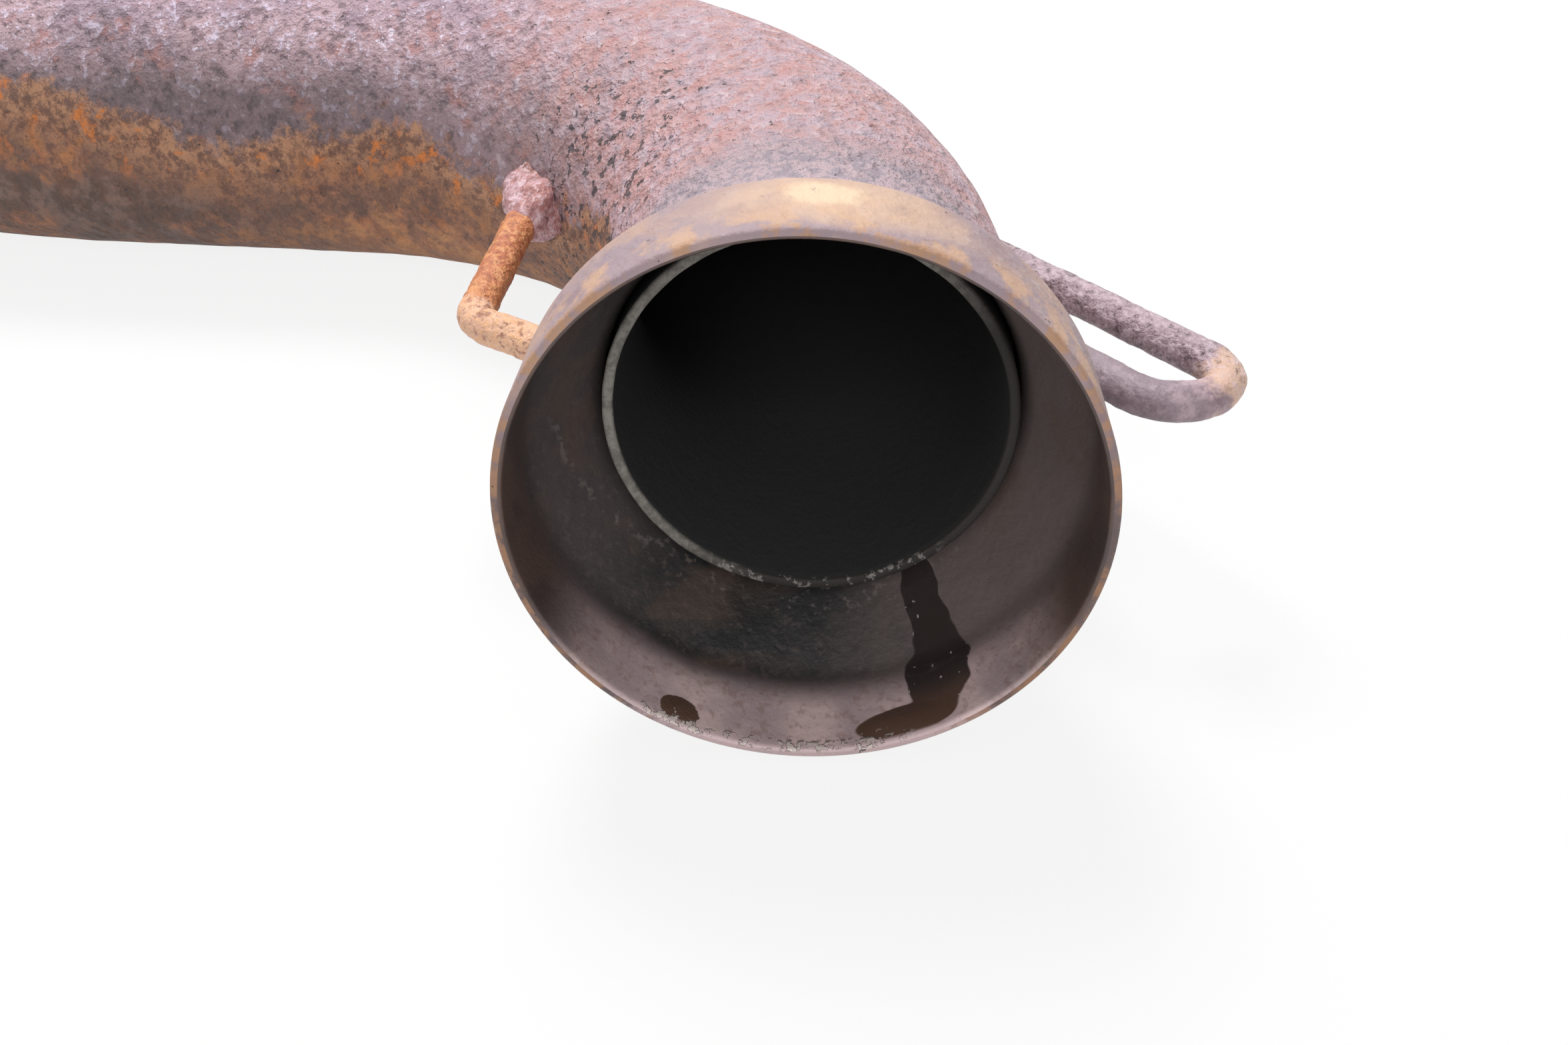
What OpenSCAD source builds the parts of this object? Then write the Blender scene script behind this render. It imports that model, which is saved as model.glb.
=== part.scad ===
// Socket end of a corroded twin-wall exhaust pipe: an outer tube with a flared
// socket, a tube nested inside it, and two welded bar hooks for the joint springs.
// Millimetres. The origin is the centre of the socket's mouth, +Y runs into the
// pipe, -X is the side that it bends to, and the pipe lies at rest with +Z up.

/* [Tubes] */
// Outside diameter of the outer tube
tube_d = 50.8; // [46:0.2:60]
// Wall of the outer tube and of its socket
tube_wall = 1.25; // [0.8:0.05:2]
// Clearance between the outer tube and the one nested in it
nest_gap = 0.35; // [0.2:0.05:1]
// Wall of the nested tube
liner_wall = 1.25; // [0.8:0.05:2]
// Length of the pipe along its centreline, from rim to cut end
cut_len = 406; // [340:1:600]

/* [Bends] */
// Straight neck from the rim to the start of the bend
neck_len = 39.5; // [38:0.5:60]
// Centreline radius of the bend
bend_r = 93; // [77:1:110]
// Angle of the bend
bend_angle = 84.5; // [75:0.5:90]
// Straight length between the bend and the offset bend
mid_len = 45; // [20:1:70]
// Centreline radius of the gentle offset bend
offset_r = 200; // [120:5:260]
// Angle of the gentle offset bend, turned back the other way
offset_angle = 6; // [2:0.5:10]

/* [Socket] */
// Outside diameter of the socket
socket_d = 64; // [62:0.2:78]
// Straight length of the socket's band
band_len = 11.4; // [8:0.2:14]
// Length of the taper between the band and the tube
taper_len = 14.8; // [14:0.2:20]
// Radius that rounds both ends of the taper
taper_round = 5.6; // [3:0.2:6]
// Radius worn on both edges of the rim
rim_round = 0.4; // [0.1:0.1:0.4]
// Depth of the nested tube's end below the rim
liner_recess = 21.3; // [16:0.1:26]

/* [Hooks] */
// Diameter of the hooks' round bar
bar_d = 4.8; // [4:0.2:6]
// Distance of the left hook's long leg from the socket's axis
left_leg_out = 44.5; // [40:0.5:50]
// Distance of the left hook's corner from the rim
left_corner = 46.3; // [42:0.1:52]
// Centreline radius of the left hook's corner
left_corner_r = 6; // [4:0.5:8]
// Angle through which the left hook turns
left_turn = 55; // [45:1:65]
// Distance of the right hook's round end from the socket's axis
right_end_out = 42.2; // [40:0.2:50]
// Distance of the right hook's round end from the rim
right_end = 32.7; // [28:0.1:38]
// Centreline radius of the right hook's round end
right_end_r = 6.5; // [5:0.5:8]
// Lean of the right hook's legs off the socket's axis
right_lean = 37; // [32:1:42]
// Radius of the weld beads at the hooks' feet
bead_r = 4.6; // [3.8:0.1:5]

/* [Hidden] */
$fn = 96;

tube_r = tube_d / 2;
socket_r = socket_d / 2;
liner_r = tube_r - tube_wall - nest_gap;
liner_bore_r = liner_r - liner_wall;
bar_r = bar_d / 2;
socket_len = band_len + taper_len;
arc_steps = 7;
// Length of hook leg that is left inside the tube before it is coped to it
cope = 8;
// Distance that a bore is carried past the open end it cuts through
overrun = 1;
// A straight runs this far into a bend, and a tube's or a bar's bend stands this
// much proud of it, so that the two join as one solid with no shared skin
lap = 0.2;
tube_proud = 0.15;
bar_proud = 0.01;
neck_end = neck_len + lap;

// Length of an arc of a radius and an angle
function arc_len(r, angle) = r * angle * PI / 180;
tail_len = cut_len - neck_len - arc_len(bend_r, bend_angle) - mid_len - arc_len(offset_r, offset_angle);

// The socket's taper is a cone between two equal rounds, and runs at this angle.
taper_drop = socket_r - tube_r - 2 * taper_round;
taper_angle = atan2(taper_drop, taper_len) + asin(2 * taper_round / norm([taper_drop, taper_len]));

// Plan of the centreline in the bend's own plane: [towards the bend, along the socket].
// heading is the angle turned from the socket's axis.
function step(p, heading, len) = p + len * [sin(heading), cos(heading)];
tail_heading = bend_angle - offset_angle;
bend_end = [bend_r * (1 - cos(bend_angle)), neck_len + bend_r * sin(bend_angle)];
offset_start = step(bend_end, bend_angle, mid_len);
offset_end = offset_start + offset_r * [cos(tail_heading) - cos(bend_angle), sin(bend_angle) - sin(tail_heading)];
cut_end = step(offset_end, tail_heading, tail_len);

// The pipe lies on the back edge of its socket's band, on the outside of its bend
// and on its cut end. The last two touch along the line from the cut end that is
// tangent to the bend. Both are rounds, of the edge and of the tube, so the tilt
// is that of a common tangent.
bend_to_end = cut_end - [bend_r, neck_len];
lie_angle = atan2(bend_to_end[1], bend_to_end[0]) - asin(bend_r / norm(bend_to_end));
band_reach = (cut_end[1] - band_len) * cos(lie_angle) - cut_end[0] * sin(lie_angle);
band_edge_r = socket_r - taper_round;
lie_tilt = atan2(band_edge_r, band_reach) - asin((tube_r - taper_round) / norm([band_reach, band_edge_r]));

// From the pipe's own frame, whose z runs into the mouth and x towards the bend,
// to the frame in which the pipe lies at rest
module at_rest() {
    rotate(a = lie_tilt, v = [-cos(lie_angle), sin(lie_angle), 0]) rotate([90, 0, 180]) children();
}

// The frame at the far end of a bend; a negative radius turns the other way
module past_bend(r, angle) {
    translate([r, 0, 0]) rotate([0, sign(r) * angle, 0]) translate([-r, 0, 0]) children();
}

// A round bar that bends; a negative radius bends it the other way
module bend(r, angle, bar_radius) {
    rotate([0, 0, r > 0 ? 0 : 180]) translate([abs(r), 0, 0]) rotate([90, 0, 180])
        rotate_extrude(angle = angle) translate([abs(r), 0]) circle(bar_radius);
}

// A straight round bar that laps into a bend at its near end and, if asked, at its far end
module straight(len, bar_radius, far_lap) {
    translate([0, 0, -lap]) cylinder(h = lap + len + far_lap, r = bar_radius);
}

// A bar along the pipe's centreline past the straight neck; past_end carries it past the cut end
module run_past_neck(bar_radius, past_end) {
    translate([0, 0, neck_len]) {
        bend(bend_r, bend_angle, bar_radius + tube_proud);
        past_bend(bend_r, bend_angle) {
            straight(mid_len, bar_radius, lap);
            translate([0, 0, mid_len]) {
                bend(-offset_r, offset_angle, bar_radius + tube_proud);
                past_bend(-offset_r, offset_angle) straight(tail_len, bar_radius, past_end);
            }
        }
    }
}

// Points of the taper from the band to the tube, a depth into the wall
function taper_outline(depth) = concat(
    [for (i = [0:arc_steps])
        let (t = taper_angle * i / arc_steps)
        [socket_r - taper_round, band_len] + (taper_round - depth) * [cos(t), sin(t)]],
    [for (i = [arc_steps:-1:0])
        let (t = taper_angle * i / arc_steps)
        [tube_r + taper_round, socket_len] - (taper_round + depth) * [cos(t), sin(t)]]
);

// One worn edge of the rim, from the mouth to the band: the edge at a radius,
// with side 1 where the wall ends outwards and -1 where it ends inwards
function rim_outline(edge_r, side) = [
    for (i = [0:arc_steps])
        let (t = 90 * i / arc_steps)
        [edge_r - side * rim_round * (1 - sin(t)), rim_round * (1 - cos(t))]
];

// The outside of the socket and of the straight neck behind it
module socket_outside() {
    rotate_extrude() polygon(concat(
        [[0, 0]],
        rim_outline(socket_r, 1),
        taper_outline(0),
        [[tube_r, neck_end], [0, neck_end]]
    ));
}

// The hollow of the socket and neck, carried out past the mouth
module socket_inside() {
    band_bore_r = socket_r - tube_wall;
    rotate_extrude() polygon(concat(
        [[0, -overrun], [band_bore_r + rim_round, -overrun]],
        rim_outline(band_bore_r, -1),
        taper_outline(tube_wall),
        [[tube_r - tube_wall, neck_end], [0, neck_end]]
    ));
}

module outer_tube() {
    color("#8f6f6c") at_rest() difference() {
        union() {
            socket_outside();
            run_past_neck(tube_r, 0);
        }
        union() {
            socket_inside();
            run_past_neck(tube_r - tube_wall, overrun);
        }
    }
}

module inner_tube() {
    color("#55504e") at_rest() difference() {
        union() {
            translate([0, 0, liner_recess]) cylinder(h = neck_end - liner_recess, r = liner_r);
            run_past_neck(liner_r, 0);
        }
        union() {
            translate([0, 0, liner_recess - overrun])
                cylinder(h = neck_end - liner_recess + overrun, r = liner_bore_r);
            run_past_neck(liner_bore_r, overrun);
        }
    }
}

// The outside of the outer tube as one solid, which the hooks and beads are coped to
module tube_solid() {
    socket_outside();
    translate([0, 0, neck_len]) bend(bend_r, bend_angle, tube_r + tube_proud);
}

// A bar bent once: its first leg runs up z at the origin, and its second leg
// leaves the other end of a bend that turns it under, towards -x
module bent_bar(r, turn, first_leg, second_leg) {
    straight(first_leg, bar_r, 0);
    mirror([0, 0, 1]) {
        bend(-r, turn, bar_r + bar_proud);
        past_bend(-r, turn) straight(second_leg, bar_r, 0);
    }
}

// Left hook: a long leg parallel to the socket's axis that meets the inside of
// the bend, and a short leg that meets the neck just behind the taper
left_setback = left_corner_r * tan(left_turn / 2);
left_inner_r = bend_r - tube_r;
left_foot_z = neck_len + sqrt(pow(left_inner_r, 2) - pow(bend_r - left_leg_out, 2));
left_neck_z = left_corner - (left_leg_out - tube_r) / tan(left_turn);

module left_bar() {
    arc_top = left_corner + left_setback;
    neck_leg = (left_leg_out - tube_r) / sin(left_turn) - left_setback;
    translate([left_leg_out, 0, arc_top])
        bent_bar(left_corner_r, left_turn, left_foot_z - arc_top + cope, neck_leg + cope / 2);
}

// Right hook: a hairpin whose two legs lean back to the neck
right_near_out = right_end_out - right_end_r * cos(right_lean);
right_near_z = right_end - right_end_r * sin(right_lean);
right_far_out = right_end_out + right_end_r * cos(right_lean);
right_far_z = right_end + right_end_r * sin(right_lean);
// Lengths of the near leg to the neck, and of the far leg to the outside of the bend
right_near_leg = (right_near_out - tube_r) / sin(right_lean);
right_far_leg = far_leg_len(right_far_out, right_far_z);

// Distance along a leaning leg from a point to the outside of the bend
function far_leg_len(out, z) =
    let (
        from_centre = [-out - bend_r, z - neck_len],
        along = [sin(right_lean), cos(right_lean)],
        b = from_centre * along,
        c = from_centre * from_centre - pow(bend_r + tube_r, 2)
    )
    -b - sqrt(b * b - c);

module right_bar() {
    translate([-right_end_out, 0, right_end]) rotate([0, right_lean, 0]) translate([right_end_r, 0, 0])
        bent_bar(right_end_r, 180, right_near_leg + cope / 2, right_far_leg + cope);
}

module left_hook() {
    color("#b0704a") at_rest() difference() {
        left_bar();
        tube_solid();
    }
}

module right_hook() {
    color("#8c6f74") at_rest() difference() {
        right_bar();
        tube_solid();
    }
}

// A bead round a bar's foot, turned so that neither pole lies in the bar
module bead(foot) {
    translate([foot[0], 0, foot[1]]) rotate([0, 90, 0]) sphere(bead_r);
}

module left_hook_welds() {
    color("#a8807c") at_rest() difference() {
        union() {
            bead([left_leg_out, left_foot_z]);
            bead([tube_r, left_neck_z]);
        }
        left_bar();
        tube_solid();
    }
}

module right_hook_welds() {
    color("#7f6266") at_rest() difference() {
        union() {
            bead([-right_near_out, right_near_z] + right_near_leg * [sin(right_lean), cos(right_lean)]);
            bead([-right_far_out, right_far_z] + right_far_leg * [sin(right_lean), cos(right_lean)]);
        }
        right_bar();
        tube_solid();
    }
}

outer_tube();
inner_tube();
left_hook();
right_hook();
left_hook_welds();
right_hook_welds();
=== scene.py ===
"""Looks for the socket end of a corroded twin-wall exhaust pipe.

The pipe's pieces are made in millimetres in its own frame, where z runs in at the
mouth, x is towards the bend and y is up, and are then laid at rest in metres.
"""

from math import acos, asin, atan2, cos, degrees, hypot, pi, radians, sin, sqrt, tan

import bpy
import bmesh
from mathutils import Matrix, Vector, noise


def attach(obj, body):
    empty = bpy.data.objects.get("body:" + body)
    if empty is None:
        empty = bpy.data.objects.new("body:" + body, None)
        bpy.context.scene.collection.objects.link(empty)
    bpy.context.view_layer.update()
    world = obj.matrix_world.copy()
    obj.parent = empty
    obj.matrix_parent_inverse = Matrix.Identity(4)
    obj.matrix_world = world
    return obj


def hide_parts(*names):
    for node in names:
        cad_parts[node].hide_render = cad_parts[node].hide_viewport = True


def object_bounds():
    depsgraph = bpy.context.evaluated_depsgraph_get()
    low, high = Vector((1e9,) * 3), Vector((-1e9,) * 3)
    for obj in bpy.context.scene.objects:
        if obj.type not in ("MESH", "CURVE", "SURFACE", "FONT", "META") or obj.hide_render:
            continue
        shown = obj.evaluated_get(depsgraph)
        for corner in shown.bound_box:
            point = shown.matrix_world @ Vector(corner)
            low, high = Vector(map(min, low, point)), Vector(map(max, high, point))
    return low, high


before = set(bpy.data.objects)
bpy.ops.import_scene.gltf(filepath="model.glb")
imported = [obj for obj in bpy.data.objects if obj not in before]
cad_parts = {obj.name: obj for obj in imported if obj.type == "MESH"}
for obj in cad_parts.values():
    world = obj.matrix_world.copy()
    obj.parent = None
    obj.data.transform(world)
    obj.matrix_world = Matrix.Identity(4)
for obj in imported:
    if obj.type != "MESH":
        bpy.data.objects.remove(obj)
cad_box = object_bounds()

# ---------------------------------------------------------------- sizes, mm

MM_PER_M = 1000.0

TUBE_R = 25.4
WALL = 1.25
LINER_R = 23.8
LINER_BORE_R = 22.55
LINER_RECESS = 21.3
SOCKET_R = 32.0
BAND = 11.4
TAPER = 14.8
TAPER_ROUND = 5.6
NECK = 39.5
BEND_R = 93.0
BEND_TURN = 84.5
MIDDLE = 45.0
OFFSET_R = 200.0
OFFSET_TURN = 6.0
RUN = 163.4
BAR_R = 2.4

# How far the edge of a slanting bar's end sinks into the wall that it meets
BAR_BITE = 1.1
# A place along a bar that no bar reaches
PAST_ANY_BAR = 999

# The pipe's lie on the floor, in degrees
LIE = 9.979
LIE_TILT = 3.591

AT_REST = (
    Matrix.Rotation(radians(LIE_TILT), 4, Vector((-cos(radians(LIE)), sin(radians(LIE)), 0)))
    @ Matrix(((-1, 0, 0, 0), (0, 0, 1, 0), (0, 1, 0, 0), (0, 0, 0, 1)))
    @ Matrix.Scale(1 / MM_PER_M, 4)
)


# ---------------------------------------------------------------- routes

class Route:
    """A centreline of straights and bends. Its frames have z along it and y up.

    Each stretch is a length and a bend radius: 0 is straight, and a positive
    radius turns towards the frame's own x.
    """

    def __init__(self, start, heading, stretches):
        place = Matrix.Translation(start) @ Matrix.Rotation(radians(heading), 4, "Y")
        self.length = sum(length for length, _ in stretches)
        self.legs = []
        for length, radius in stretches:
            self.legs.append((place, length, radius))
            place = self.onward(place, length, radius)

    @staticmethod
    def onward(place, length, radius):
        if not radius:
            return place @ Matrix.Translation((0, 0, length))
        return (
            place @ Matrix.Translation((radius, 0, 0))
            @ Matrix.Rotation(length / radius, 4, "Y") @ Matrix.Translation((-radius, 0, 0))
        )

    def at(self, along):
        for place, length, radius in self.legs[:-1]:
            if along <= length:
                return self.onward(place, along, radius)
            along -= length
        place, _, radius = self.legs[-1]
        return self.onward(place, along, radius)


def arc(radius, turn):
    return abs(radius) * radians(turn)


def direction(turn):
    """Unit vector at an angle in degrees from z towards x."""
    return Vector((sin(radians(turn)), 0, cos(radians(turn))))


PIPE = Route((0, 0, 0), 0, [
    (NECK, 0), (arc(BEND_R, BEND_TURN), BEND_R), (MIDDLE, 0),
    (arc(OFFSET_R, OFFSET_TURN), -OFFSET_R), (RUN, 0),
])
BEND_CENTRE = Vector((BEND_R, 0, NECK))


def socket_radius(along, depth):
    """Radius of the socket's wall at a depth under its outside. From the rim in come
    the band, a round, the cone, a round and the neck."""
    drop = SOCKET_R - TUBE_R - 2 * TAPER_ROUND
    slope = atan2(drop, TAPER) + asin(2 * TAPER_ROUND / hypot(drop, TAPER))
    near_r, far_r = TAPER_ROUND - depth, TAPER_ROUND + depth
    start, end = BAND, BAND + TAPER
    near_end, far_start = start + near_r * sin(slope), end - far_r * sin(slope)
    near_radius = SOCKET_R - TAPER_ROUND + near_r * cos(slope)
    far_radius = TUBE_R + TAPER_ROUND - far_r * cos(slope)
    if along <= start:
        return SOCKET_R - depth
    if along < near_end:
        return SOCKET_R - TAPER_ROUND + sqrt(near_r ** 2 - (along - start) ** 2)
    if along < far_start:
        down_cone = (along - near_end) / (far_start - near_end)
        return near_radius + (far_radius - near_radius) * down_cone
    if along < end:
        return TUBE_R + TAPER_ROUND - sqrt(far_r ** 2 - (end - along) ** 2)
    return TUBE_R - depth


# ---------------------------------------------------------------- skins

def steps(first, last, step):
    """Even places from first to last, both ends in."""
    count = max(1, round(abs(last - first) / step))
    return [first + (last - first) * i / count for i in range(count + 1)]


def only(kind, geometry):
    return [g for g in geometry if isinstance(g, kind)]


def draw_skin(route, rings, sides, closed=False):
    """A round skin drawn along a route by extruding one circle ring by ring.

    rings are (place along, radius, part), and part is the material of the faces
    that lead up to the ring. A closed skin ends where it began; any other is
    capped. The skin layer keeps each point's place along, height and side.
    """
    bm = bmesh.new()
    layer = bm.verts.layers.float_vector.new("skin")
    ring = bmesh.ops.create_circle(bm, segments=sides, radius=1)["verts"]
    edges = list(bm.edges)
    first = edges
    before = Matrix.Identity(4)
    for index, (along, radius, part) in enumerate(rings):
        pose = route.at(along) @ Matrix.Diagonal((radius, radius, 1, 1))
        if index:
            grown = bmesh.ops.extrude_edge_only(bm, edges=edges)["geom"]
            ring = only(bmesh.types.BMVert, grown)
            news = set(ring)
            edges = [e for e in only(bmesh.types.BMEdge, grown) if news.issuperset(e.verts)]
            for face in only(bmesh.types.BMFace, grown):
                face.material_index = part
        bmesh.ops.transform(bm, matrix=pose @ before.inverted(), verts=ring)
        before = pose
        back = pose.inverted()
        for v in ring:
            flat = back @ v.co
            v[layer] = (along, flat.y, -flat.x)
    if closed:
        bmesh.ops.bridge_loops(bm, edges=first + edges)
    else:
        bmesh.ops.edgenet_fill(bm, edges=first)
        bmesh.ops.edgenet_fill(bm, edges=edges)
    bmesh.ops.recalc_face_normals(bm, faces=bm.faces)
    return bm


def roughen(bm, relief):
    """Moves each point of part 0 out or in along its normal by relief(point, along)."""
    layer = bm.verts.layers.float_vector["skin"]
    bm.normal_update()
    points = {v for face in bm.faces if face.material_index == 0 for v in face.verts}
    for v in points:
        v.co += v.normal * relief(v.co, v[layer].x)


def lump(point, size, seed):
    """Smooth noise from -1 to 1 whose lumps are about size across."""
    return noise.noise(point / size + Vector((seed, 2 * seed, 3 * seed)))


def lumps(point, layers, seed):
    """Layers of lumps added up, each (size, height) in mm."""
    return sum(height * lump(point, size, seed + i) for i, (size, height) in enumerate(layers))


def set_down(bm, name, body, nodes, materials):
    """Lays a finished mesh at rest in metres and rides it on its body."""
    bmesh.ops.transform(bm, matrix=AT_REST, verts=bm.verts)
    for face in bm.faces:
        face.smooth = True
    mesh = bpy.data.meshes.new(name)
    bm.to_mesh(mesh)
    bm.free()
    for material in materials:
        mesh.materials.append(material)
    piece = bpy.data.objects.new(name, mesh)
    bpy.context.scene.collection.objects.link(piece)
    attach(piece, body)
    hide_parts(*nodes)


# ---------------------------------------------------------------- node building

def srgb(red, green, blue):
    """A colour written as it looks, 0 to 255, as the linear colour that the shader takes."""
    def linear(c):
        c = c / 255
        return c / 12.92 if c <= 0.04045 else ((c + 0.055) / 1.055) ** 2.4
    return (linear(red), linear(green), linear(blue), 1)


class Paint:
    """Short names for the shader nodes of one tree."""

    def __init__(self, tree):
        self.tree = tree

    def node(self, kind, **settings):
        made = self.tree.nodes.new(kind)
        for key, value in settings.items():
            setattr(made, key, value)
        return made

    def feed(self, socket, value):
        if isinstance(value, bpy.types.NodeSocket):
            self.tree.links.new(value, socket)
        else:
            socket.default_value = value

    def math(self, operation, *values):
        made = self.node("ShaderNodeMath", operation=operation)
        for socket, value in zip(made.inputs, values):
            self.feed(socket, value)
        return made.outputs[0]

    def plus(self, first, *terms):
        for term in terms:
            first = self.math("ADD", first, term)
        return first

    def times(self, first, *factors):
        for factor in factors:
            first = self.math("MULTIPLY", first, factor)
        return first

    def minus(self, a, b):
        return self.math("SUBTRACT", a, b)

    def most(self, a, b):
        return self.math("MAXIMUM", a, b)

    def least(self, a, b):
        return self.math("MINIMUM", a, b)

    def join(self, a, b):
        """The lesser of two values, rounded over where they come within reach."""
        reach = 0.5
        return self.math("SMOOTH_MIN", a, b, reach)

    def swing(self, cloud, amount):
        """A cloud from 0 to 1 as a swing around 0 that is amount from end to end."""
        return self.times(self.minus(cloud, 0.5), amount)

    def ramp(self, value, low, high):
        """0 at low to 1 at high, smoothly; low may be above high."""
        made = self.node("ShaderNodeMapRange", interpolation_type="SMOOTHSTEP")
        flip = low > high
        self.feed(made.inputs["Value"], value)
        self.feed(made.inputs["From Min"], min(low, high))
        self.feed(made.inputs["From Max"], max(low, high))
        self.feed(made.inputs["To Min"], 1.0 if flip else 0.0)
        self.feed(made.inputs["To Max"], 0.0 if flip else 1.0)
        return made.outputs["Result"]

    def seen_straight(self):
        """1 for rays from the camera, off gloss or through glass, and 0 for others."""
        rays = self.node("ShaderNodeLightPath").outputs
        off = self.most(rays["Is Glossy Ray"], rays["Is Transmission Ray"])
        return self.most(rays["Is Camera Ray"], off)

    def place(self):
        """Object coordinates, drawn out so that patterns run deeper than they are wide."""
        made = self.node("ShaderNodeMapping", vector_type="TEXTURE")
        self.feed(made.inputs["Vector"], self.node("ShaderNodeTexCoord").outputs["Object"])
        made.inputs["Rotation"].default_value = (radians(-32), 0.0, radians(12))
        made.inputs["Scale"].default_value = (1.0, 1.6, 1.0)
        return made.outputs[0]

    def skin(self):
        """Place along in mm, height and side of the skin layer."""
        made = self.node("ShaderNodeAttribute", attribute_name="skin")
        split = self.node("ShaderNodeSeparateXYZ")
        self.feed(split.inputs[0], made.outputs["Vector"])
        return split.outputs[0], split.outputs[1], split.outputs[2]

    def cloud(self, size, detail, rough=0.55, shift=0, stretch=(1.0, 1.0, 1.0)):
        """Noise from 0 to 1 whose lumps are about size mm. Each shift gives another."""
        vector = self.place()
        if shift:
            moved = self.node("ShaderNodeMapping")
            self.feed(moved.inputs["Vector"], vector)
            moved.inputs["Location"].default_value = (shift / 10, shift * 0.07, -shift / 10)
            moved.inputs["Scale"].default_value = stretch
            vector = moved.outputs[0]
        made = self.node("ShaderNodeTexNoise")
        self.feed(made.inputs["Vector"], vector)
        made.inputs["Scale"].default_value = MM_PER_M / size
        made.inputs["Detail"].default_value = detail
        made.inputs["Roughness"].default_value = rough
        return made.outputs["Fac"]

    def mix(self, mask, a, b):
        made = self.node("ShaderNodeMix", data_type="RGBA")
        self.feed(made.inputs[0], mask)
        self.feed(made.inputs[6], a)
        self.feed(made.inputs[7], b)
        return made.outputs[2]

    def tones(self, value, low, high, a, b):
        """Colour a where a value is low and b where it is high."""
        return self.mix(self.ramp(value, low, high), a, b)

    def lay(self, base, tint, *masks):
        """A colour with a tint laid over it, by the product of the masks."""
        return self.mix(self.times(*masks), base, tint)

    def spot(self, along, side, centre, size):
        """0 at a spot's centre, 1 at its edge and more beyond it."""
        far = self.math("POWER", self.times(self.minus(along, centre[0]), 1 / size[0]), 2.0)
        wide = self.math("POWER", self.times(self.minus(side, centre[1]), 1 / size[1]), 2.0)
        return self.plus(far, wide)

    def group(self, tree, **values):
        """The one output of a group."""
        made = self.node("ShaderNodeGroup", node_tree=tree)
        for key, value in values.items():
            self.feed(made.inputs[key], value)
        return made.outputs[0]


def new_group(name, takes, gives):
    """An empty node group with float inputs at their defaults and one float output."""
    tree = bpy.data.node_groups.new(name, "ShaderNodeTree")
    for label, value in takes.items():
        made = tree.interface.new_socket(label, in_out="INPUT", socket_type="NodeSocketFloat")
        made.default_value = value
    tree.interface.new_socket(gives, in_out="OUTPUT", socket_type="NodeSocketFloat")
    paint = Paint(tree)
    inner = paint.node("NodeGroupInput").outputs
    return tree, paint, inner, paint.node("NodeGroupOutput").inputs[gives]


def flecks_group():
    """Scattered flecks of a size in mm, covering more as Cover goes from 0 to 1."""
    tree, p, takes, mask = new_group(
        "flecks", {"Size": 2.0, "Cover": 0.3, "Soft": 0.05, "Shift": 0.0}, "Mask")
    moved = p.node("ShaderNodeVectorMath", operation="ADD")
    p.feed(moved.inputs[0], p.place())
    p.feed(moved.inputs[1], takes["Shift"])
    made = p.node("ShaderNodeTexNoise")
    p.feed(made.inputs["Vector"], moved.outputs[0])
    p.feed(made.inputs["Scale"], p.math("DIVIDE", MM_PER_M, takes["Size"]))
    made.inputs["Detail"].default_value = 3.0
    made.inputs["Roughness"].default_value = 0.68
    # The level of noise that almost nothing passes, and how far Cover lowers it
    bare, lowered = 0.72, 0.44
    level = p.minus(bare, p.times(takes["Cover"], lowered))
    above = p.math("DIVIDE", p.minus(made.outputs["Fac"], level), takes["Soft"])
    clamp = p.node("ShaderNodeClamp")
    p.feed(clamp.inputs["Value"], p.plus(above, 0.5))
    p.feed(mask, clamp.outputs[0])
    return tree


def grain_group():
    """Height of a corroded surface from its scale and its crust, about -0.4 to 0.4."""
    tree, p, takes, height = new_group("grain", {"Scale": 1.0, "Crust": 1.0}, "Height")
    scale = p.swing(p.cloud(1.9, 2, 0.5), takes["Scale"])
    crust = p.swing(p.cloud(0.8, 3, 0.65, shift=3), takes["Crust"])
    p.feed(height, p.plus(scale, p.times(crust, 0.6)))
    return tree


FLECKS = flecks_group()
GRAIN = grain_group()


def new_finish(name):
    material = bpy.data.materials.new(name)
    material.use_nodes = True
    tree = material.node_tree
    return material, Paint(tree), tree.nodes["Principled BSDF"]


def emboss(p, shader, height, depth):
    """Bump from a height that runs over about 1 for depth mm."""
    bump = p.node("ShaderNodeBump")
    bump.inputs["Strength"].default_value = 1.0
    bump.inputs["Distance"].default_value = depth / MM_PER_M
    p.feed(bump.inputs["Height"], height)
    p.feed(shader.inputs["Normal"], bump.outputs["Normal"])


# ---------------------------------------------------------------- finishes

# Painted highlight of the wet lip at the bottom of the rim
LIP_HIGHLIGHT = srgb(226, 198, 201)


class Skin:
    """The outer tube's place on its skin and the clouds that its layers share."""

    def __init__(self, p):
        self.along, self.height, self.side = p.skin()
        grain = p.group(GRAIN)
        self.grain = grain
        # The grain's peaks and hollows: the scales paint highlights on the peaks and shade in
        # the hollows
        self.peaks = p.ramp(grain, 0.06, 0.26)
        self.hollows = p.ramp(grain, -0.03, -0.22)
        self.zones = p.cloud(14, 3)
        self.blots = p.cloud(4.4, 4, 0.62, shift=1)
        self.specks = p.cloud(1.7, 5, 0.78, shift=2)
        self.ragged = p.cloud(11, 4, 0.62, shift=4)


def mauve_scale(p, s):
    """Mauve scale of the upper side, glossy on its peaks, with painted highlights on its
    peaks, painted shade in its hollows and painted glints.
    """
    tint = p.tones(s.zones, 0.40, 0.60, srgb(174, 149, 164), srgb(194, 163, 172))
    tint = p.lay(tint, srgb(176, 118, 110), p.ramp(s.blots, 0.54, 0.66), 0.65)
    # Painted highlights on the grain's peaks and painted shade in its hollows
    tint = p.lay(tint, srgb(230, 214, 238), s.peaks, 0.7)
    tint = p.lay(tint, srgb(122, 102, 110), s.hollows, 0.75)
    # Painted glints scattered over the scale
    cover = p.plus(p.swing(s.zones, 0.5), 0.16)
    glints = p.group(FLECKS, Size=1.3, Cover=cover, Soft=0.05, Shift=0.3)
    return p.lay(tint, srgb(238, 226, 246), glints, 0.75)


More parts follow.
